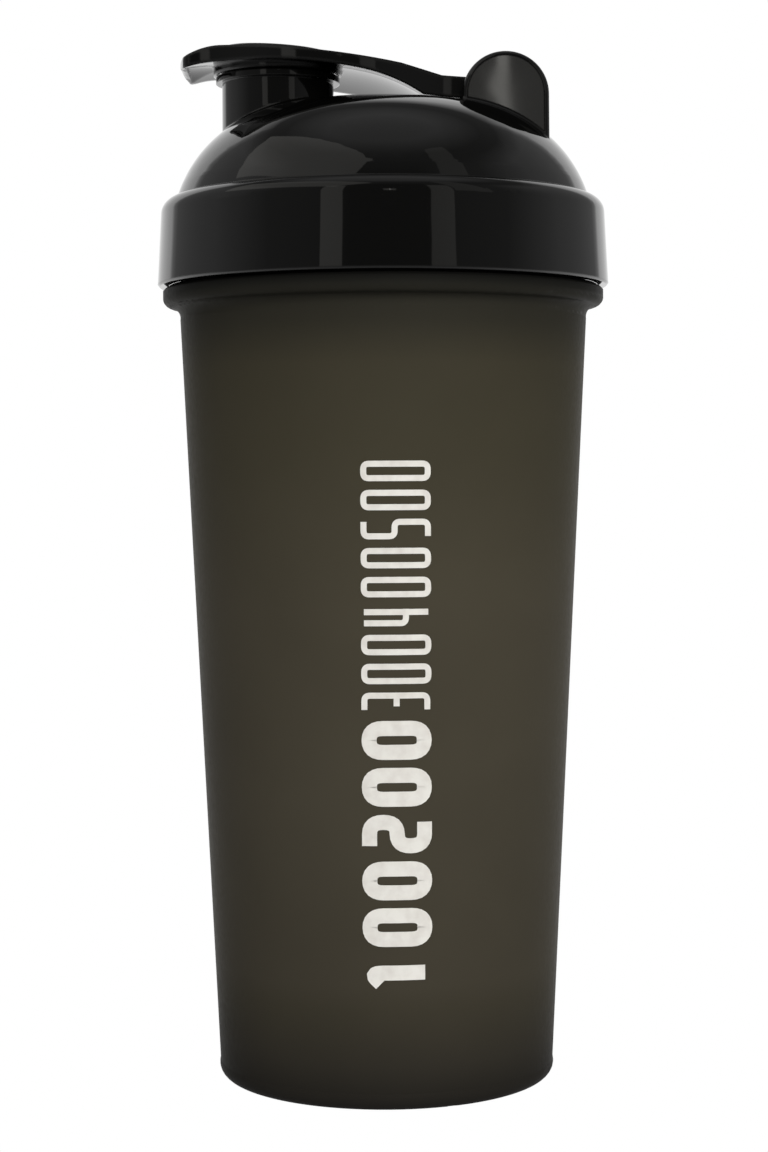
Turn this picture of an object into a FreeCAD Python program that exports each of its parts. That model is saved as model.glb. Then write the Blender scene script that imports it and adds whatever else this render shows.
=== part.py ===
import FreeCAD, Part
import math
import os

from FreeCAD import Vector as V

# Protein shaker bottle: a tapered cup, a screw lid with an off-centre drinking spout,
# and a flip cap hinged between two lugs on the lid.  Millimetres, +Z up.  The origin is the
# centre of the foot ring on the surface it stands on; the spout is towards -X.

# ---- cup ----
WALL_SLOPE = math.tan(math.radians(2.87))
CUP_R0 = 35.2            # outer radius where the wall line meets z = 0
CUP_WALL = 1.7
FLOOR_T = 2.2
FOOT_R = 32.8            # outer radius of the flat foot ring
FOOT_INNER_R = 30.2
FOOT_RECESS = 1.5        # height of the hollow under the floor
CORNER_Z = 3.6           # height of the rounded bottom corner
FOOT_BULGE = (0.62, 0.85)    # how far the corner arc stays inside the wall line, and its height there
NECK_R = 43.0            # outside of the threaded neck
NECK_TOP = 182.0
BEAD_R = 46.9            # stop bead that the lid screws down to
BEAD_LOW = 163.0
BEAD_TOP = 166.9
BEAD_ROUND = 1.9
BEAD_FLARE = 2.6         # height of the flare that leads the wall into the bead
EDGE_BREAK = 0.5         # small chamfer or rounding on plain edges
BEAD_BULGE = (0.55, 0.7)     # the flare's arc: its offset from the wall, and its drop below the bead
INNER_CORNER = 4.0       # rounding between the cup's wall and floor, inside

# ---- lid ----
SKIRT_LOW = 167.4
SKIRT_LOW_R = 48.0
SHOULDER_R = 3.45        # rounding between skirt and dome
SHOULDER_CR = 43.8
SHOULDER_CZ = 182.7
LID_BORE_R = 45.6
DOME_CR = 17.35          # centre of the dome's side arc
DOME_CZ = 178.04
DOME_SIDE_R = 27.76
DOME_TOP = 206.4
DOME_STEPS = 5           # points that lead the outline along the side arc
LID_WALL = 2.0
LAND_Z = 183.8           # flat land the gasket seats on
PLUG_R = 40.9            # inner ring that centres the lid in the cup's neck
PLUG_WALL = 1.7
PLUG_LOW = 178.6
SKIRT_EDGE = 0.4
PART_ROOT = LAND_Z + 8   # spout and lugs start here, inside the dome's wall, before it is hollowed

# ---- screw thread, one right-hand start ----
THREAD_LEAD = 5.0
CUP_RIDGE_R = 44.85
LID_RIDGE_R = 43.55
RIDGE_ROOT = 2.3         # ridge width at its root
RIDGE_CREST = 1.1
RIDGE_BITE = 0.5         # how far a ridge is rooted into its wall
CUP_RIDGE_Z = 172.6
LID_RIDGE_Z = 170.65
RIDGE_TURNS = 1.15

# ---- spout ----
SPOUT_X = -22.3
SPOUT_R = 11.9
SPOUT_BORE_R = 9.9
SPOUT_TOP = 213.0
SPOUT_LIP = 0.5          # edge rounding of the drinking rim
STOP_RING_R = 13.2
STOP_RING_LOW = 210.9
STOP_RING_TOP = 212.2
BASE_FILLET = 0.8
ROOT_LOW_Z = 196.0       # the spout and the lugs meet the dome above this height

SNAP = 1e-3              # tolerance for picking edges by position
OVERLAP = 1.0            # cutting tools and joined solids reach this far past each other
SHORTEST_ROOT = 2.0      # edges shorter than this are not part of a root outline

# ---- hinge ----
HINGE_X = 25.75
HINGE_Z = 208.0
LUG_R = 9.05             # half-width and top radius of each lug
LUG_TOP_Z = 206.55       # centre of the lug's round top
LUG_INNER_Y = 11.3
LUG_OUTER_Y = 14.6
LUG_EDGE = 1.1
LUG_DRAFT = 3.0          # degrees; each outer face leans in towards the top
LUG_DRAFT_Z = 206.0      # height at which the lug is LUG_OUTER_Y wide
LUG_SPARE = 2.0          # extra thickness that the leaning outer face cuts away
LUG_TRIM = 80.0          # size of the tool that cuts the leaning face
BARREL_R = 2.7
ARM_HALF = 10.9          # half-width of the cap's arm between the lugs
PIN_R = 1.9
PIN_LENGTH = 2.2
PIN_GAP = 0.05           # running clearance of the stub pins, radial
SOCKET_DEPTH = 2.4

# ---- flip cap ----
# Mid-line profile of the strap as (x, z): upper side from the thumb tab to the hinge, then the
# lower side.
TAB_NOSE = (-43.0, 214.5)
TAB_BEND = (-41.0, 215.9)
CREST = (-34.0, 217.9)
STRAP_MID_TOP = (-12.0, 216.55)
STRAP_KNEE_TOP = (4.0, 213.95)
STRAP_END_TOP = (12.5, 211.45)
TAB_LIP = (-41.5, 213.25)
TAB_NOSE_LOW = (-42.6, 213.5)
TAB_UNDER_BEND = (-38.3, 214.1)
TAB_ROOT = (-34.0, 214.5)
STRAP_MID_UNDER = (-16.0, 214.55)
STRAP_BEND_UNDER = (-5.0, 213.0)
WEDGE_MID_UNDER = (2.5, 210.7)
WEDGE_LOW = (8.6, 207.45)
HEEL = (24.55, 205.95)
STRAP_SINK = 0.1         # the strap runs into the hinge barrel this far below its top
CAP_ARCH_R = 115.0       # the strap is arched across its width
CAP_HALF = 19.0          # widest half-width of the strap
CAP_TAB_HALF = 11.3
CAP_TAB_X = -40.6
CAP_FRONT_X = -41.9      # where the tab's round corners reach the front edge
CAP_FRONT_HALF = 9.6
CAP_CORNER = (-41.5, 10.7)    # middle of each round corner
GRIP_R = 28.8            # finger scoop under the tab; it leaves a lip along the nose
GRIP_TOP = 214.6
GRIP_BACK = -35.0
# Half-width of the strap at each x, between the tab and the hinge.
CAP_SIDE = (
    (-32.6, 12.9), (-22.3, 17.4), (-13.6, 18.9), (-7.6, CAP_HALF), (0.4, 17.0), (7.8, 13.7), (12.4, 11.7),
)
CAP_NECK_X = 16.4        # from here to the hinge the strap is parallel
TRIM_LOW = 198.0         # the outlines that trim the strap start below all of it
TRIM_HEIGHT = 30.0
COLLAR_R = 13.7
COLLAR_BORE_R = 12.3
COLLAR_LOW = 212.55
COLLAR_CEILING = 213.7
PAD_R = 12.0             # raised round pad over the spout
PAD_RISE = 0.7
PAD_EDGE = 0.4

# ---- stopper ----
STOPPER_TOP_R = 9.45
STOPPER_LOW_R = 9.1
STOPPER_LOW = 207.4
STOPPER_HOLLOW_R = 6.6
STOPPER_HOLLOW_TOP = 211.6
STOPPER_FLANGE_R = 11.7
STOPPER_FLANGE_T = 0.5

# ---- gasket ----
GASKET_IN_R = 41.3
GASKET_OUT_R = 44.4
GASKET_EDGE = 0.35

# ---- mixing grid ----
GRID_R = 39.2
GRID_RIM_WALL = 1.5
GRID_LOW = 176.2
GRID_T = 1.6
GRID_RIM_TOP = 182.4
GRID_RINGS = (8.0, 18.5, 29.0)
GRID_BAR = 1.6
GRID_SPOKES = 12


def point(r, z):
    return V(r, 0, z)


def line(a, b):
    return Part.makeLine(a, b)


def arc(a, mid, b):
    return Part.Arc(a, mid, b).toShape()


def turned(edges):
    """Solid of revolution about Z of a closed outline in the XZ plane."""
    face = Part.Face(Part.Wire(edges))
    return face.revolve(V(0, 0, 0), V(0, 0, 1), 360)


def cylinder(radius, low, high, x=0.0):
    return Part.makeCylinder(radius, high - low, V(x, 0, low))


def tube(outer_r, inner_r, low, high):
    return cylinder(outer_r, low, high).cut(cylinder(inner_r, low, high))


def cross_cylinder(radius, y_low, y_high, x, z):
    return Part.makeCylinder(radius, y_high - y_low, V(x, y_low, z), V(0, 1, 0))


def near_edges(shape, test):
    return [e for e in shape.Edges if test(e.BoundBox)]


def cup_r(z):
    return CUP_R0 + WALL_SLOPE * z


def dome_z(r, offset=0.0):
    """Height of the dome's side arc at radius r, moved in by offset."""
    radius = DOME_SIDE_R - offset
    return DOME_CZ + math.sqrt(radius ** 2 - (r - DOME_CR) ** 2)


def helix_ridge(root_r, crest_r, start_z, turns):
    """One screw ridge of trapezoid section, swept along a helix and rooted in its wall."""
    bite = math.copysign(RIDGE_BITE, root_r - crest_r)
    section = [
        V(root_r + bite, 0, start_z - RIDGE_ROOT / 2),
        V(root_r + bite, 0, start_z + RIDGE_ROOT / 2),
        V(crest_r, 0, start_z + RIDGE_CREST / 2),
        V(crest_r, 0, start_z - RIDGE_CREST / 2),
    ]
    path = Part.makeHelix(THREAD_LEAD, THREAD_LEAD * turns, root_r)
    path.translate(V(0, 0, start_z))
    profile = Part.makePolygon(section + section[:1])
    sweep = Part.BRepOffsetAPI.MakePipeShell(Part.Wire(path.Edges))
    sweep.setFrenetMode(True)
    sweep.add(profile)
    sweep.build()
    sweep.makeSolid()
    return sweep.shape()


# ---------------------------------------------------------------- cup
def make_cup():
    inner_floor = FOOT_RECESS + FLOOR_T
    recess_r = FOOT_INNER_R - FOOT_RECESS
    corner = cup_r(CORNER_Z)
    flare_z = BEAD_LOW - BEAD_FLARE
    flare_r = cup_r(flare_z)
    bead_in = BEAD_R - BEAD_ROUND
    bead_mid = BEAD_ROUND * math.sqrt(0.5)
    inner_bottom = cup_r(inner_floor) - CUP_WALL
    inner_top = NECK_R - CUP_WALL
    sag = INNER_CORNER * (1 - math.sqrt(0.5))
    rim_z = NECK_TOP - EDGE_BREAK
    edges = [
        line(point(0, FOOT_RECESS), point(recess_r, FOOT_RECESS)),
        line(point(recess_r, FOOT_RECESS), point(FOOT_INNER_R, 0)),
        line(point(FOOT_INNER_R, 0), point(FOOT_R, 0)),
        arc(point(FOOT_R, 0), point(corner - FOOT_BULGE[0], FOOT_BULGE[1]), point(corner, CORNER_Z)),
        line(point(corner, CORNER_Z), point(flare_r, flare_z)),
        arc(point(flare_r, flare_z), point(flare_r + BEAD_BULGE[0], BEAD_LOW - BEAD_BULGE[1]),
            point(bead_in, BEAD_LOW)),
        arc(point(bead_in, BEAD_LOW), point(bead_in + bead_mid, BEAD_LOW + BEAD_ROUND - bead_mid),
            point(BEAD_R, BEAD_LOW + BEAD_ROUND)),
        line(point(BEAD_R, BEAD_LOW + BEAD_ROUND), point(BEAD_R, BEAD_TOP - EDGE_BREAK)),
        line(point(BEAD_R, BEAD_TOP - EDGE_BREAK), point(BEAD_R - EDGE_BREAK, BEAD_TOP)),
        line(point(BEAD_R - EDGE_BREAK, BEAD_TOP), point(NECK_R, BEAD_TOP)),
        line(point(NECK_R, BEAD_TOP), point(NECK_R, rim_z)),
        arc(point(NECK_R, rim_z), point(NECK_R - CUP_WALL / 2, NECK_TOP), point(inner_top, rim_z)),
        line(point(inner_top, rim_z), point(inner_top, BEAD_LOW)),
        line(point(inner_top, BEAD_LOW), point(inner_bottom, inner_floor + INNER_CORNER)),
        arc(point(inner_bottom, inner_floor + INNER_CORNER), point(inner_bottom - sag, inner_floor + sag),
            point(inner_bottom - INNER_CORNER, inner_floor)),
        line(point(inner_bottom - INNER_CORNER, inner_floor), point(0, inner_floor)),
        line(point(0, inner_floor), point(0, FOOT_RECESS)),
    ]
    body = turned(edges)
    ridge = helix_ridge(NECK_R, CUP_RIDGE_R, CUP_RIDGE_Z, RIDGE_TURNS)
    return body.fuse(ridge)


# ---------------------------------------------------------------- screw lid
def crown_radius(top, side_r):
    """Radius of the crown arc that meets the side arc tangentially and peaks on the axis."""
    rise = top - DOME_CZ
    return (DOME_CR ** 2 + rise ** 2 - side_r ** 2) / (2 * (rise - side_r))


def dome_edges(offset, low_z):
    """One smooth dome outline from the axis to low_z, through a flat crown and a tighter side arc."""
    side = DOME_SIDE_R - offset
    crown = crown_radius(DOME_TOP, DOME_SIDE_R) - offset
    crown_z = DOME_TOP - offset - crown
    tilt = math.atan2(DOME_CR, DOME_CZ - crown_z)
    low_angle = math.acos((low_z - DOME_CZ) / side)
    points = [point(0, DOME_TOP - offset)]
    for angle in (tilt / 2, tilt):
        points.append(point(crown * math.sin(angle), crown_z + crown * math.cos(angle)))
    for i in range(1, DOME_STEPS + 1):
        angle = tilt + (low_angle - tilt) * i / DOME_STEPS
        points.append(point(DOME_CR + side * math.sin(angle), DOME_CZ + side * math.cos(angle)))
    curve = Part.BSplineCurve()
    curve.interpolate(points, InitialTangent=V(1, 0, 0),
                      FinalTangent=V(math.cos(low_angle), 0, -math.sin(low_angle)))
    return points[0], points[-1], [curve.toShape()]


def lid_outside():
    """Solid outer form of skirt, shoulder and dome, before it is hollowed."""
    shoulder_top = SHOULDER_CZ + SHOULDER_R
    top, low, dome = dome_edges(0.0, shoulder_top)
    skirt_top = point(SHOULDER_CR + SHOULDER_R, SHOULDER_CZ)
    half = math.sqrt(0.5) * SHOULDER_R
    edges = dome + [
        line(low, point(SHOULDER_CR, shoulder_top)),
        arc(point(SHOULDER_CR, shoulder_top), point(SHOULDER_CR + half, SHOULDER_CZ + half), skirt_top),
        line(skirt_top, point(SKIRT_LOW_R, SKIRT_LOW + SKIRT_EDGE)),
        line(point(SKIRT_LOW_R, SKIRT_LOW + SKIRT_EDGE), point(SKIRT_LOW_R - SKIRT_EDGE, SKIRT_LOW)),
        line(point(SKIRT_LOW_R - SKIRT_EDGE, SKIRT_LOW), point(0, SKIRT_LOW)),
        line(point(0, SKIRT_LOW), top),
    ]
    return turned(edges)


def lies_at(low, high, value):
    """True where a span is flat and sits at the given coordinate."""
    return abs(low - value) < SNAP and abs(high - value) < SNAP


def lug(side):
    """One hinge lug: a round-topped plate whose outer face leans in and is softened at the edge."""
    y_low, y_high = sorted((side * LUG_INNER_Y, side * (LUG_OUTER_Y + LUG_SPARE)))
    corner = V(HINGE_X - LUG_R, y_low, PART_ROOT)
    plate = Part.makeBox(2 * LUG_R, y_high - y_low, LUG_TOP_Z - PART_ROOT, corner)
    plate = plate.fuse(cross_cylinder(LUG_R, y_low, y_high, HINGE_X, LUG_TOP_Z)).removeSplitter()
    pivot = V(0, side * LUG_OUTER_Y, LUG_DRAFT_Z)
    outward = V(0, side, math.tan(math.radians(LUG_DRAFT))).normalize()
    half = LUG_TRIM / 2
    trim = Part.makePlane(LUG_TRIM, LUG_TRIM, pivot - V(half, half, 0)).extrude(V(0, 0, half))
    trim.rotate(pivot, V(1, 0, 0), -side * (90 - LUG_DRAFT))
    plate = plate.cut(trim)

    def on_outer_face(edge):
        middle = edge.valueAt((edge.FirstParameter + edge.LastParameter) / 2)
        spots = [v.Point for v in edge.Vertexes] + [middle]
        return all(abs((p - pivot).dot(outward)) < SNAP for p in spots)

    rim = [e for e in plate.Edges if on_outer_face(e) and e.BoundBox.ZMax > PART_ROOT + OVERLAP]
    return plate.makeFillet(LUG_EDGE, rim)


def standing_roots(body):
    """Edges where the spout and the lugs meet the outside of the dome."""
    reach = LUG_R + 2 * OVERLAP

    def is_root(b):
        beside = abs(b.Center.x - SPOUT_X) < reach or abs(b.Center.x - HINGE_X) < reach
        on_dome = b.ZMin > ROOT_LOW_Z and b.ZMax < DOME_TOP + OVERLAP and b.ZLength < SPOUT_R
        return beside and on_dome and b.DiagonalLength > SHORTEST_ROOT

    return near_edges(body, is_root)


def lid_cavity():
    """The hollow under the dome and inside the skirt."""
    mouth_z = SKIRT_LOW - OVERLAP
    top, low, dome = dome_edges(LID_WALL, LAND_Z)
    return turned(dome + [
        line(low, point(LID_BORE_R, LAND_Z)),
        line(point(LID_BORE_R, LAND_Z), point(LID_BORE_R, mouth_z)),
        line(point(LID_BORE_R, mouth_z), point(0, mouth_z)),
        line(point(0, mouth_z), top),
    ])


def plug_ring():
    """The ring under the dome that centres the lid in the cup's neck and holds the grid."""
    ring_top = dome_z(PLUG_R, LID_WALL) + LID_WALL / 2
    plug = cylinder(PLUG_R, PLUG_LOW, ring_top)
    root = cylinder(PLUG_R + LID_WALL, LAND_Z, ring_top)
    hole = cylinder(PLUG_R - PLUG_WALL, PLUG_LOW, ring_top)
    return plug.fuse(root).cut(hole).common(lid_outside())


def make_screw_lid():
    spout = cylinder(SPOUT_R, PART_ROOT, SPOUT_TOP, SPOUT_X)
    body = lid_outside().fuse([spout, lug(1), lug(-1)])
    body = body.makeFillet(BASE_FILLET, standing_roots(body))
    body = body.cut(lid_cavity())
    stop_ring = cylinder(STOP_RING_R, STOP_RING_LOW, STOP_RING_TOP, SPOUT_X)
    ridge = helix_ridge(LID_BORE_R, LID_RIDGE_R, LID_RIDGE_Z, RIDGE_TURNS)
    body = body.fuse([plug_ring(), stop_ring, ridge])
    body = body.cut(cylinder(SPOUT_BORE_R, LAND_Z + LID_WALL, SPOUT_TOP + OVERLAP, SPOUT_X))
    for side in (1, -1):
        y_low, y_high = sorted((side * (LUG_INNER_Y - OVERLAP), side * (LUG_INNER_Y + SOCKET_DEPTH)))
        socket = cross_cylinder(PIN_R + PIN_GAP, y_low, y_high, HINGE_X, HINGE_Z)
        body = body.cut(socket)
    lip = near_edges(body, lambda b: lies_at(b.ZMin, b.ZMax, SPOUT_TOP))
    return body.makeFillet(SPOUT_LIP, lip)


# ---------------------------------------------------------------- flip cap
def spot(xz, rise=0.0):
    return point(xz[0], xz[1] + rise)


def arched(edges):
    """Sweep a closed XZ outline across the width about the arch's axis, which runs along X."""
    face = Part.Face(Part.Wire(edges))
    half_angle = math.degrees(math.asin((CAP_HALF + 2 * OVERLAP) / CAP_ARCH_R))
    axis_point = V(0, 0, CREST[1] - CAP_ARCH_R)
    face.rotate(axis_point, V(1, 0, 0), -half_angle)
    return face.revolve(axis_point, V(1, 0, 0), 2 * half_angle)


def cap_strip():
    """The strap and thumb tab before their sides are trimmed."""
    hinge = point(HINGE_X, HINGE_Z)
    barrel_top = point(HINGE_X, HINGE_Z + BARREL_R - STRAP_SINK)
    return arched([
        arc(spot(TAB_NOSE), spot(TAB_BEND), spot(CREST)),
        arc(spot(CREST), spot(STRAP_MID_TOP), spot(STRAP_KNEE_TOP)),
        line(spot(STRAP_KNEE_TOP), spot(STRAP_END_TOP)),
        line(spot(STRAP_END_TOP), barrel_top),
        line(barrel_top, hinge),
        line(hinge, spot(HEEL)),
        line(spot(HEEL), spot(WEDGE_LOW)),
        arc(spot(WEDGE_LOW), spot(WEDGE_MID_UNDER), spot(STRAP_BEND_UNDER)),
        arc(spot(STRAP_BEND_UNDER), spot(STRAP_MID_UNDER), spot(TAB_ROOT)),
        arc(spot(TAB_ROOT), spot(TAB_UNDER_BEND), spot(TAB_LIP)),
        arc(spot(TAB_LIP), spot(TAB_NOSE_LOW), spot(TAB_NOSE)),
    ])


def under_strap_top(rise=0.0):
    """Everything below the strap's upper surface, raised by the given amount."""
    knee = spot(STRAP_KNEE_TOP, rise)
    crest = spot(CREST, rise)
    knee_low = point(STRAP_KNEE_TOP[0], TRIM_LOW)
    far = point(2 * TAB_NOSE[0], crest.z)
    far_low = point(far.x, TRIM_LOW)
    return arched([
        arc(crest, spot(STRAP_MID_TOP, rise), knee),
        line(knee, knee_low),
        line(knee_low, far_low),
        line(far_low, far),
        line(far, crest),
    ])


def cap_plan():
    """Outline of the strap seen from above: thumb tab, wide middle, narrow hinge end."""
    back = HINGE_X + BARREL_R + OVERLAP
    side = ((CAP_TAB_X, CAP_TAB_HALF),) + CAP_SIDE + ((CAP_NECK_X, ARM_HALF),)
    edges = [
        arc(V(CAP_FRONT_X, CAP_FRONT_HALF, 0), V(TAB_NOSE[0], 0, 0), V(CAP_FRONT_X, -CAP_FRONT_HALF, 0)),
        line(V(back, ARM_HALF, 0), V(back, -ARM_HALF, 0)),
    ]
    for sign in (1, -1):
        curve = Part.BSplineCurve()
        curve.interpolate([V(x, sign * y, 0) for x, y in side])
        edges.append(curve.toShape())
        edges.append(line(V(CAP_NECK_X, sign * ARM_HALF, 0), V(back, sign * ARM_HALF, 0)))
        edges.append(arc(V(CAP_TAB_X, sign * CAP_TAB_HALF, 0), V(CAP_CORNER[0], sign * CAP_CORNER[1], 0),
                         V(CAP_FRONT_X, sign * CAP_FRONT_HALF, 0)))
    face = Part.Face(Part.Wire(Part.__sortEdges__(edges)))
    face.translate(V(0, 0, TRIM_LOW))
    return face.extrude(V(0, 0, TRIM_HEIGHT))


def finger_scoop():
    """The shallow hollow under the thumb tab, which runs out towards its sides and its root."""
    lip_x = TAB_LIP[0]
    return Part.makeCylinder(GRIP_R, GRIP_BACK - lip_x, V(lip_x, 0, GRIP_TOP - GRIP_R), V(1, 0, 0))


def make_flip_cap():
    strap = cap_strip().common(cap_plan()).cut(finger_scoop())
    barrel = cross_cylinder(BARREL_R, -ARM_HALF, ARM_HALF, HINGE_X, HINGE_Z)
    reach = ARM_HALF + PIN_LENGTH
    pins = cross_cylinder(PIN_R, -reach, reach, HINGE_X, HINGE_Z)
    collar = cylinder(COLLAR_R, COLLAR_LOW, CREST[1], SPOUT_X).common(under_strap_top())
    pad_root = COLLAR_CEILING + OVERLAP
    pad = cylinder(PAD_R, pad_root, CREST[1] + 2 * PAD_RISE, SPOUT_X).common(under_strap_top(PAD_RISE))
    pad_rim = near_edges(pad, lambda b: b.ZMin > pad_root + PAD_EDGE and b.YLength > PAD_R)
    pad = pad.makeFillet(PAD_EDGE, pad_rim)
    cap = strap.fuse([barrel, pins, collar, pad])
    bore = cylinder(COLLAR_BORE_R, COLLAR_LOW - OVERLAP, COLLAR_CEILING, SPOUT_X)
    return cap.cut(bore).removeSplitter()


# ---------------------------------------------------------------- soft and inner pieces
def make_stopper():
    height = COLLAR_CEILING - STOPPER_LOW
    plug = Part.makeCone(STOPPER_LOW_R, STOPPER_TOP_R, height, V(SPOUT_X, 0, STOPPER_LOW))
    flange = cylinder(STOPPER_FLANGE_R, COLLAR_CEILING - STOPPER_FLANGE_T, COLLAR_CEILING, SPOUT_X)
    hollow = cylinder(STOPPER_HOLLOW_R, STOPPER_LOW - OVERLAP, STOPPER_HOLLOW_TOP, SPOUT_X)
    return plug.fuse(flange).cut(hollow).removeSplitter()


def make_gasket():
    ring = tube(GASKET_OUT_R, GASKET_IN_R, NECK_TOP, LAND_Z)
    return ring.makeFillet(GASKET_EDGE, near_edges(ring, lambda b: b.ZLength < SNAP))


def make_mixing_grid():
    rim = tube(GRID_R, GRID_R - GRID_RIM_WALL, GRID_LOW, GRID_RIM_TOP)
    bars = [tube(r + GRID_BAR / 2, r - GRID_BAR / 2, GRID_LOW, GRID_LOW + GRID_T) for r in GRID_RINGS]
    length = GRID_R - GRID_RIM_WALL / 2 - GRID_RINGS[0]
    for i in range(GRID_SPOKES):
        spoke = Part.makeBox(length, GRID_BAR, GRID_T, V(GRID_RINGS[0], -GRID_BAR / 2, GRID_LOW))
        spoke.rotate(V(0, 0, 0), V(0, 0, 1), i * 360 / GRID_SPOKES)
        bars.append(spoke)
    return rim.fuse(bars).removeSplitter()


PARTS = {
    "cup": make_cup,
    "screw_lid": make_screw_lid,
    "lid_gasket": make_gasket,
    "mixing_grid": make_mixing_grid,
    "flip_cap": make_flip_cap,
    "spout_stopper": make_stopper,
}

os.makedirs("parts", exist_ok=True)
for name, make in PARTS.items():
    shape = make()
    shape.exportStep(f"parts/{name}.step")
    box = shape.BoundBox
    print(name, shape.ShapeType, len(shape.Solids), shape.isValid(), round(shape.Volume / 1000, 2), "cm3",
          [round(v, 2) for v in (box.XMin, box.YMin, box.ZMin, box.XMax, box.YMax, box.ZMax)])
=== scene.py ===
import math

import bmesh
import bpy
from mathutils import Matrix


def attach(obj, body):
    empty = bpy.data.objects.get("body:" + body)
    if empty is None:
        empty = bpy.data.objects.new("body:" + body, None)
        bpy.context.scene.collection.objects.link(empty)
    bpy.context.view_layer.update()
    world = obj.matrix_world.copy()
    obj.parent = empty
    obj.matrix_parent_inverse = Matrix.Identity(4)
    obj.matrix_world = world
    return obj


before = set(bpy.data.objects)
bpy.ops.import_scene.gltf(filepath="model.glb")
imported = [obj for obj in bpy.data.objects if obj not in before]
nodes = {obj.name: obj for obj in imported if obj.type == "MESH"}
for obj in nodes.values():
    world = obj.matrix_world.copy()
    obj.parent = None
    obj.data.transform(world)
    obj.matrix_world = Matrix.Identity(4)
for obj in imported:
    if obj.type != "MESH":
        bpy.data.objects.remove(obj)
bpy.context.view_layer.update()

# ---- cup's outside, in metres: a cone whose radius grows with height ----
CUP_BASE_R = 0.0352
CUP_SLOPE = math.tan(math.radians(2.87))
CUP_PAINTED_SHADE_TOP = 0.168    # height at which the cup's colour by height, with its painted shade, ends

# ---- materials ----
BLACK = (0.0016, 0.0016, 0.0015)
BLACK_IOR = 1.5
LID_EDGE = 0.0004         # softened edge radius of the lid and of the cap
CAP_EDGE = 0.0011
NOISE_BAND = (0.3, 0.7)   # most of a noise texture's values lie between these
SMUDGE_SCALE = 55.0       # faint change of gloss
SMUDGE_BAND = (0.35, 0.75)
SMUDGE_ROUGH = (0.02, 0.05)
WAVE_SCALE = 38.0         # slight waviness of the moulded surface
WAVE_STRENGTH = 0.06
WAVE_DEPTH = 0.0012
CUP_IOR = 1.07            # below the plastic's own, because the satin wall has almost no sheen
CUP_ROUGH = (0.40, 0.48)
CUP_GRAIN_SCALE = 900.0
CUP_GRAIN_STRENGTH = 0.10
GRAIN_DEPTH = 0.0002
CLOUD_SCALE = 30.0        # soft light and dark patches
CUP_CLOUD = (0.94, 1.06)
# The cup's smoked tint with painted shade, by height as a part of the top height above: painted shade
# darkens it at the foot and under the bead, and it is lighter in the middle as painted light shining through
# the wall.
CUP_TINT_AND_PAINTED_SHADE = [
    (0.00, (0.012, 0.011, 0.010)),
    (0.025, (0.017, 0.0155, 0.013)),
    (0.055, (0.025, 0.0225, 0.018)),
    (0.12, (0.037, 0.033, 0.024)),
    (0.15, (0.044, 0.039, 0.029)),
    (0.30, (0.050, 0.0445, 0.033)),
    (0.60, (0.053, 0.047, 0.034)),
    (0.80, (0.044, 0.0395, 0.027)),
    (0.89, (0.040, 0.036, 0.025)),
    (0.94, (0.025, 0.0235, 0.018)),
    (0.97, (0.022, 0.021, 0.017)),
    (0.985, (0.010, 0.010, 0.009)),
    (0.995, (0.003, 0.003, 0.003)),
]
STOPPER_DARK = (0.030, 0.030, 0.030)
GASKET_DARK = (0.045, 0.045, 0.045)
GRID_DARK = (0.030, 0.030, 0.030)
SOFT_SHADE = 0.8          # the darker spots of these three, as a part of their colour
SOFT_GRAIN_STRENGTH = 0.15
INK_THIN = (0.62, 0.60, 0.58)
INK_FULL = (0.71, 0.70, 0.68)
INK_PATCH_SCALE = 420.0
INK_ROUGH = 0.5

# ---- print on the cup: plain volume numbers that run up it, heavy digits below and light ones above ----
PRINT_LIFT = 0.00006
PRINT_LEFT = -0.0047
PRINT_RIGHT = 0.0093
PRINT_LOW = 0.0240
PRINT_HEAVY_TOP = 0.0785
PRINT_TOP = 0.1300
HEAVY_DIGITS = "100200"
LIGHT_DIGITS = "300400500"
HEAVY_STROKE = 0.0030
LIGHT_STROKE = 0.0012
HEAVY_GAP = 0.0016
LIGHT_GAP = 0.0017
CORNER_STEPS = 6          # short segments in each rounded corner of a stroke
CORNER_RATIO = 0.9        # corner radius, as a part of the stroke's width
WRAP_STEP = 0.001         # width of the columns that follow the cup's curve

# ---- studio ----
FLOOR_SIZE = 8.0
FLOOR_FRONT = 0.25        # brightness of the floor in reflections, before and behind the object
FLOOR_BACK = 1.0
FLOOR_SWEEP = 0.10        # the change lies within this distance of the origin
WALL_GAP = 0.12           # dim band between the walls and the ceiling
WALL_GAP_RISE = (42, 52)  # degrees above the horizon over which it begins
CEILING = 0.35
CEILING_RISE = (58, 73)
SWEEP_TURN = math.radians(3)   # the white sweep reaches further round on the left
# Brightness of the walls from before the object (0) round to behind it (1).
WALLS = [(0.00, 0.060), (0.11, 0.065), (0.20, 0.130), (0.35, 0.160), (0.45, 0.290),
         (0.54, 0.370), (0.74, 0.320), (0.765, 0.50), (0.785, 1.05)]
LIGHT_REACH = 1.5         # distance of the lights from the lid
LIGHT_AIM_Z = 0.19
LIGHT_TINT = (1.0, 0.985, 0.93)
FILL = 8.1                # brightness of the light that only matt surfaces see

# ---- camera ----
LENS_MM = 76.56
SENSOR_MM = 36.0
SHIFT_Y = -0.0816
CAMERA_PLACE = (0.0, -0.524, 0.1258)
CAMERA_ROLL = math.radians(0.27)


# ------------------------------------------------------------ materials
def new_material(name):
    material = bpy.data.materials.new(name)
    material.use_nodes = True
    tree = material.node_tree
    return material, tree, tree.nodes["Principled BSDF"]


def node(tree, kind, **settings):
    made = tree.nodes.new(kind)
    for key, value in settings.items():
        setattr(made, key, value)
    return made


def noise(tree, coords, scale, detail=3.0):
    made = node(tree, "ShaderNodeTexNoise")
    made.inputs["Scale"].default_value = scale
    made.inputs["Detail"].default_value = detail
    tree.links.new(coords, made.inputs["Vector"])
    return made.outputs["Fac"]


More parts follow.
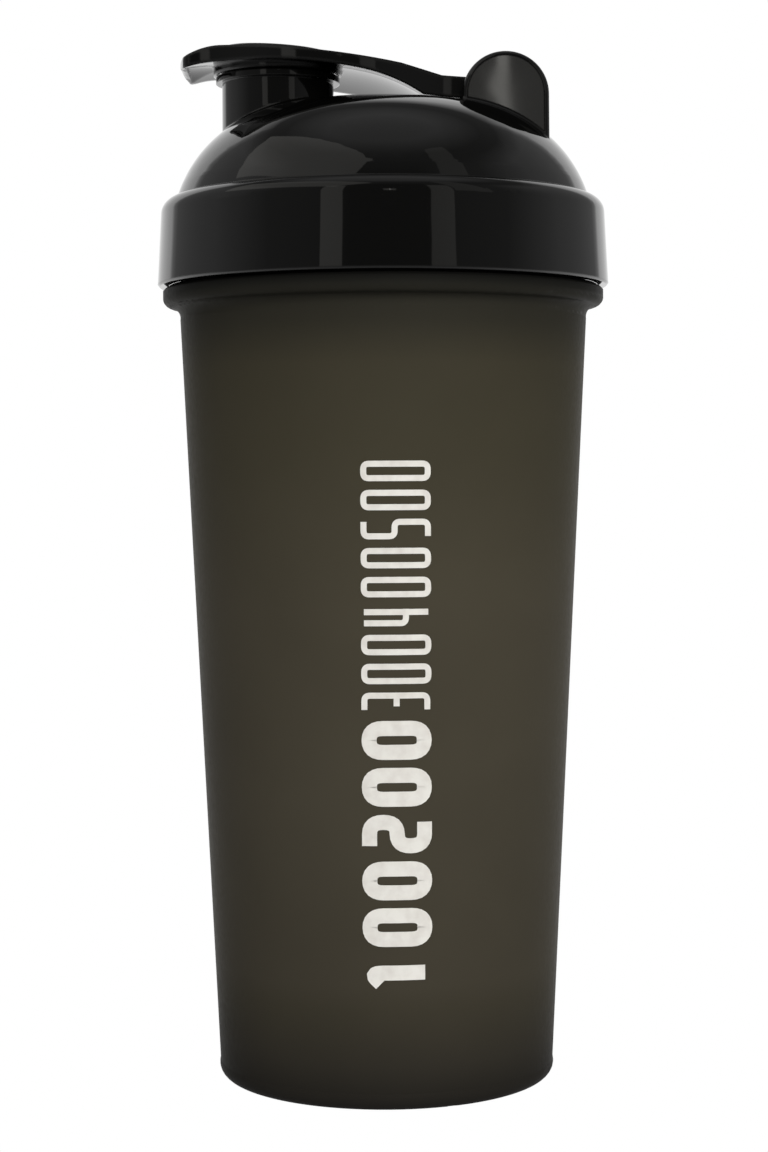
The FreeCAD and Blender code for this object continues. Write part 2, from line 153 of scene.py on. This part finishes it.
def ramp(tree, factor, stops):
    made = node(tree, "ShaderNodeValToRGB")
    elements = made.color_ramp.elements
    while len(elements) < len(stops):
        elements.new(0.5)
    for element, (position, colour) in zip(elements, stops):
        element.position = position
        element.color = (*colour, 1.0)
    tree.links.new(factor, made.inputs["Fac"])
    return made.outputs["Color"]


def map_range(tree, value, low, high, to_low, to_high):
    made = node(tree, "ShaderNodeMapRange")
    made.inputs["From Min"].default_value = low
    made.inputs["From Max"].default_value = high
    made.inputs["To Min"].default_value = to_low
    made.inputs["To Max"].default_value = to_high
    tree.links.new(value, made.inputs["Value"])
    return made.outputs["Result"]


def object_coords(tree):
    return node(tree, "ShaderNodeTexCoord").outputs["Object"]


def split_xyz(tree, coords):
    split = node(tree, "ShaderNodeSeparateXYZ")
    tree.links.new(coords, split.inputs["Vector"])
    return split.outputs


def bumped(tree, shader, height, strength, distance, base=None):
    bump = node(tree, "ShaderNodeBump")
    bump.inputs["Strength"].default_value = strength
    bump.inputs["Distance"].default_value = distance
    tree.links.new(height, bump.inputs["Height"])
    if base is not None:
        tree.links.new(base, bump.inputs["Normal"])
    tree.links.new(bump.outputs["Normal"], shader.inputs["Normal"])


def gloss_black(name, edge_radius):
    material, tree, shader = new_material(name)
    coords = object_coords(tree)
    shader.inputs["Base Color"].default_value = (*BLACK, 1.0)
    shader.inputs["IOR"].default_value = BLACK_IOR
    smudge = noise(tree, coords, SMUDGE_SCALE, 4.0)
    tree.links.new(map_range(tree, smudge, *SMUDGE_BAND, *SMUDGE_ROUGH), shader.inputs["Roughness"])
    bevel = node(tree, "ShaderNodeBevel", samples=6)
    bevel.inputs["Radius"].default_value = edge_radius
    wave = noise(tree, coords, WAVE_SCALE, 2.0)
    bumped(tree, shader, wave, WAVE_STRENGTH, WAVE_DEPTH, bevel.outputs["Normal"])
    return material


def smoked_cup():
    material, tree, shader = new_material("smoked_satin_painted_shade")
    coords = object_coords(tree)
    height = split_xyz(tree, coords)["Z"]
    # painted shade: the smoked tint is darkened by height at the foot and under the bead, and lightened in
    # the middle as painted light shining through the wall
    body = ramp(tree, map_range(tree, height, 0.0, CUP_PAINTED_SHADE_TOP, 0.0, 1.0), CUP_TINT_AND_PAINTED_SHADE)
    cloud = map_range(tree, noise(tree, coords, CLOUD_SCALE), *NOISE_BAND, *CUP_CLOUD)
    mixed = node(tree, "ShaderNodeVectorMath", operation="SCALE")
    tree.links.new(body, mixed.inputs[0])
    tree.links.new(cloud, mixed.inputs["Scale"])
    tree.links.new(mixed.outputs["Vector"], shader.inputs["Base Color"])
    shader.inputs["IOR"].default_value = CUP_IOR
    grain = noise(tree, coords, CUP_GRAIN_SCALE, 2.0)
    tree.links.new(map_range(tree, grain, *NOISE_BAND, *CUP_ROUGH), shader.inputs["Roughness"])
    bumped(tree, shader, grain, CUP_GRAIN_STRENGTH, GRAIN_DEPTH)
    return material


def soft_dark(name, colour, low_rough, high_rough, scale):
    material, tree, shader = new_material(name)
    grain = noise(tree, object_coords(tree), scale)
    dark = [c * SOFT_SHADE for c in colour]
    tree.links.new(ramp(tree, grain, list(zip(NOISE_BAND, (dark, colour)))), shader.inputs["Base Color"])
    tree.links.new(map_range(tree, grain, *NOISE_BAND, low_rough, high_rough), shader.inputs["Roughness"])
    bumped(tree, shader, grain, SOFT_GRAIN_STRENGTH, GRAIN_DEPTH)
    return material


def print_ink():
    material, tree, shader = new_material("white_ink")
    patch = noise(tree, object_coords(tree), INK_PATCH_SCALE, 4.0)
    tree.links.new(ramp(tree, patch, [(0.30, INK_THIN), (0.62, INK_FULL)]), shader.inputs["Base Color"])
    shader.inputs["Roughness"].default_value = INK_ROUGH
    return material


def dress(obj, material):
    obj.data.materials.clear()
    obj.data.materials.append(material)


lid_black = gloss_black("gloss_black", LID_EDGE)
cap_black = gloss_black("gloss_black_cap", CAP_EDGE)
dress(nodes["cup"], smoked_cup())
dress(nodes["screw_lid"], lid_black)
dress(nodes["flip_cap"], cap_black)
dress(nodes["spout_stopper"], soft_dark("stopper_silicone", STOPPER_DARK, 0.50, 0.62, 260.0))
dress(nodes["lid_gasket"], soft_dark("gasket_silicone", GASKET_DARK, 0.52, 0.64, 260.0))
dress(nodes["mixing_grid"], soft_dark("grid_plastic", GRID_DARK, 0.34, 0.44, 180.0))


# ------------------------------------------------------------ print
def rounded(points, radius, closed=False):
    """The same path with every corner replaced by a short arc."""
    count = len(points)
    out = []
    for i, (x, y) in enumerate(points):
        if not closed and i in (0, count - 1):
            out.append((x, y))
            continue
        ends = []
        for other in (points[i - 1], points[(i + 1) % count]):
            dx, dy = other[0] - x, other[1] - y
            length = math.hypot(dx, dy)
            cut = min(radius, length / 2)
            ends.append((x + dx / length * cut, y + dy / length * cut))
        for step in range(CORNER_STEPS + 1):
            t = step / CORNER_STEPS
            a = (1 - t) ** 2
            b = 2 * t * (1 - t)
            c = t ** 2
            out.append((a * ends[0][0] + b * x + c * ends[1][0], a * ends[0][1] + b * y + c * ends[1][1]))
    return out


def ribbon(bm, path, width, closed=False):
    """A flat stroke of even width along a path, as quads."""
    count = len(path)
    rows = []
    for i, (x, y) in enumerate(path):
        ahead = path[(i + 1) % count] if closed or i < count - 1 else path[i]
        behind = path[i - 1] if closed or i > 0 else path[i]
        dx, dy = ahead[0] - behind[0], ahead[1] - behind[1]
        length = math.hypot(dx, dy)
        nx, ny = -dy / length * width / 2, dx / length * width / 2
        rows.append((bm.verts.new((x - nx, y - ny, 0)), bm.verts.new((x + nx, y + ny, 0))))
    last = count if closed else count - 1
    for i in range(last):
        a, b = rows[i], rows[(i + 1) % count]
        bm.faces.new((a[0], b[0], b[1], a[1]))


# Each digit as strokes on a cell 1 wide and 1 high: (points, closed).
DIGITS = {
    "0": [([(0, 0), (1, 0), (1, 1), (0, 1)], True)],
    "1": [([(0.10, 0.80), (0.55, 1), (0.55, 0)], False)],
    "2": [([(0, 1), (1, 1), (1, 0.5), (0, 0.5), (0, 0), (1, 0)], False)],
    "3": [([(0, 1), (1, 1), (1, 0.02), (0, 0.02)], False), ([(0.25, 0.5), (1, 0.5)], False)],
    "4": [([(0, 1), (0, 0.35), (1, 0.35)], False), ([(0.78, 1), (0.78, 0)], False)],
    "5": [([(1, 1), (0, 1), (0, 0.52), (1, 0.52), (1, 0), (0, 0)], False)],
}


def draw_digits(bm, text, low, high, stroke, gap):
    """Digits that read up the cup: text runs along +Z and each digit's top is towards -X."""
    pitch = (high - low + gap) / len(text)
    wide = pitch - gap - stroke
    tall = PRINT_RIGHT - PRINT_LEFT - stroke
    for i, digit in enumerate(text):
        start = low + i * pitch + stroke / 2
        for points, closed in DIGITS[digit]:
            path = [(PRINT_RIGHT - stroke / 2 - y * tall, start + x * wide) for x, y in points]
            ribbon(bm, rounded(path, stroke * CORNER_RATIO, closed), stroke, closed)


def wrap_on_cup(bm):
    """Cut the flat print into narrow columns and lay it on the cup's cone."""
    first = math.floor(PRINT_LEFT / WRAP_STEP)
    last = math.ceil(PRINT_RIGHT / WRAP_STEP)
    for i in range(first, last + 1):
        everything = bm.verts[:] + bm.edges[:] + bm.faces[:]
        bmesh.ops.bisect_plane(bm, geom=everything, plane_co=(i * WRAP_STEP, 0, 0), plane_no=(1, 0, 0))
    for vert in bm.verts:
        across, z = vert.co.x, vert.co.y
        radius = CUP_BASE_R + CUP_SLOPE * z + PRINT_LIFT
        angle = across / radius
        vert.co = (radius * math.sin(angle), -radius * math.cos(angle), z)


def make_print():
    bm = bmesh.new()
    draw_digits(bm, HEAVY_DIGITS, PRINT_LOW, PRINT_HEAVY_TOP, HEAVY_STROKE, HEAVY_GAP)
    draw_digits(bm, LIGHT_DIGITS, PRINT_HEAVY_TOP + HEAVY_GAP, PRINT_TOP, LIGHT_STROKE, LIGHT_GAP)
    wrap_on_cup(bm)
    mesh = bpy.data.meshes.new("volume_scale")
    bm.to_mesh(mesh)
    bm.free()
    obj = bpy.data.objects.new("volume_scale", mesh)
    bpy.context.scene.collection.objects.link(obj)
    obj.data.materials.append(print_ink())
    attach(obj, "cup")


make_print()


# ------------------------------------------------------------ studio
def seen_or_reflected(tree, seen, reflected, output_kind):
    """The camera sees one plain shader; reflections and bounced light see the other."""
    path = node(tree, "ShaderNodeLightPath")
    mix = node(tree, "ShaderNodeMixShader")
    output = node(tree, output_kind)
    tree.links.new(path.outputs["Is Camera Ray"], mix.inputs["Fac"])
    tree.links.new(reflected, mix.inputs[1])
    tree.links.new(seen, mix.inputs[2])
    tree.links.new(mix.outputs["Shader"], output.inputs["Surface"])


def make_floor():
    bpy.ops.mesh.primitive_plane_add(size=FLOOR_SIZE, location=(0, 0, 0))
    floor = bpy.context.object
    floor.name = "floor"
    material = bpy.data.materials.new("floor_white")
    material.use_nodes = True
    tree = material.node_tree
    tree.nodes.clear()
    depth = split_xyz(tree, object_coords(tree))["Y"]
    seen = node(tree, "ShaderNodeEmission")
    lit = node(tree, "ShaderNodeEmission")
    sweep = map_range(tree, depth, -FLOOR_SWEEP, FLOOR_SWEEP, FLOOR_FRONT, FLOOR_BACK)
    tree.links.new(sweep, lit.inputs["Strength"])
    seen_or_reflected(tree, seen.outputs["Emission"], lit.outputs["Emission"], "ShaderNodeOutputMaterial")
    dress(floor, material)


def math_node(tree, operation, *values):
    made = node(tree, "ShaderNodeMath", operation=operation)
    for socket, value in zip(made.inputs, values):
        if isinstance(value, (int, float)):
            socket.default_value = value
        else:
            tree.links.new(value, socket)
    return made.outputs["Value"]


def blend_to_grey(tree, factor, colour, level):
    """From a colour to a plain grey. The node's colour sockets share their names, so they go by number."""
    made = node(tree, "ShaderNodeMix", data_type="RGBA")
    tree.links.new(factor, made.inputs["Factor"])
    tree.links.new(colour, made.inputs[6])
    made.inputs[7].default_value = (level, level, level, 1.0)
    return made.outputs[2]


def make_world():
    """White sweep behind the object, a dim room in front, pale side walls and a soft ceiling."""
    world = bpy.data.worlds.new("studio")
    bpy.context.scene.world = world
    world.use_nodes = True
    tree = world.node_tree
    tree.nodes.clear()
    way = split_xyz(tree, node(tree, "ShaderNodeTexCoord").outputs["Generated"])
    ahead = math_node(tree, "MULTIPLY", way["Y"], -1.0)
    signed = math_node(tree, "ARCTAN2", way["X"], ahead)
    turn = math_node(tree, "ABSOLUTE", math_node(tree, "SUBTRACT", signed, SWEEP_TURN))
    rise = math_node(tree, "ARCSINE", way["Z"])
    walls = ramp(tree, map_range(tree, turn, 0.0, math.pi, 0.0, 1.0),
                 [(place, (level, level, level)) for place, level in WALLS])
    above_walls = map_range(tree, rise, *map(math.radians, WALL_GAP_RISE), 0.0, 1.0)
    overhead = map_range(tree, rise, *map(math.radians, CEILING_RISE), 0.0, 1.0)
    room = blend_to_grey(tree, above_walls, walls, WALL_GAP)
    room = blend_to_grey(tree, overhead, room, CEILING)
    light = node(tree, "ShaderNodeBackground")
    tree.links.new(room, light.inputs["Color"])
    seen = node(tree, "ShaderNodeBackground")
    seen.inputs["Color"].default_value = (1.0, 1.0, 1.0, 1.0)
    seen_or_reflected(tree, seen.outputs["Background"], light.outputs["Background"], "ShaderNodeOutputWorld")


def spread(degrees):
    """Width of something seen under this angle from the lid, at the lights' distance."""
    return 2 * LIGHT_REACH * math.tan(math.radians(degrees / 2))


def panel(name, location, rotation, width, tall, radiance, glossy=True):
    data = bpy.data.lights.new(name, "AREA")
    data.shape = "RECTANGLE"
    data.size = width
    data.size_y = tall
    data.energy = radiance * width * tall * math.pi
    data.color = LIGHT_TINT
    light = bpy.data.objects.new(name, data)
    bpy.context.scene.collection.objects.link(light)
    light.location = location
    light.rotation_euler = rotation
    light.visible_camera = False
    light.visible_glossy = glossy


def softbox(name, turn, rise, width, tall, radiance, glossy=True):
    """A light that faces the lid. Angles in degrees; turn goes from the camera's side towards +X."""
    turn = math.radians(turn)
    rise = math.radians(rise)
    flat = LIGHT_REACH * math.cos(rise)
    location = (flat * math.sin(turn), -flat * math.cos(turn), LIGHT_AIM_Z + LIGHT_REACH * math.sin(rise))
    panel(name, location, (math.radians(90) - rise, 0, turn), spread(width), spread(tall), radiance, glossy)


def strip(name, turn, width, low, high, radiance):
    """An upright strip light, seen from the lid between two heights. Angles in degrees."""
    turn = math.radians(turn)
    low = LIGHT_REACH * math.tan(math.radians(low))
    high = LIGHT_REACH * math.tan(math.radians(high))
    location = (LIGHT_REACH * math.sin(turn), -LIGHT_REACH * math.cos(turn), LIGHT_AIM_Z + (low + high) / 2)
    panel(name, location, (math.radians(90), 0, turn), spread(width), high - low, radiance)


def make_lights():
    strip("strip_left", turn=-25.5, width=11.0, low=0.0, high=35.0, radiance=0.40)
    strip("strip_right", turn=30.0, width=12.0, low=0.0, high=38.0, radiance=0.28)
    strip("side_right", turn=46.0, width=18.0, low=15.0, high=62.0, radiance=0.16)
    softbox("window_left", turn=-62.0, rise=52.0, width=62.0, tall=30.0, radiance=0.40)
    softbox("front_low", turn=3.6, rise=15.2, width=5.5, tall=5.0, radiance=0.5)
    softbox("front_strip", turn=3.75, rise=15.2, width=0.55, tall=4.0, radiance=2.3)
    softbox("fill", turn=14.0, rise=12.0, width=36.0, tall=36.0, radiance=FILL, glossy=False)


def make_camera():
    data = bpy.data.cameras.new("camera")
    data.lens = LENS_MM
    data.sensor_width = SENSOR_MM
    data.shift_y = SHIFT_Y
    data.clip_start = 0.01
    camera = bpy.data.objects.new("camera", data)
    bpy.context.scene.collection.objects.link(camera)
    camera.location = CAMERA_PLACE
    camera.rotation_euler = (math.radians(90), CAMERA_ROLL, 0)
    bpy.context.scene.camera = camera


bpy.context.scene.view_settings.view_transform = "Standard"
make_floor()
make_world()
make_lights()
make_camera()
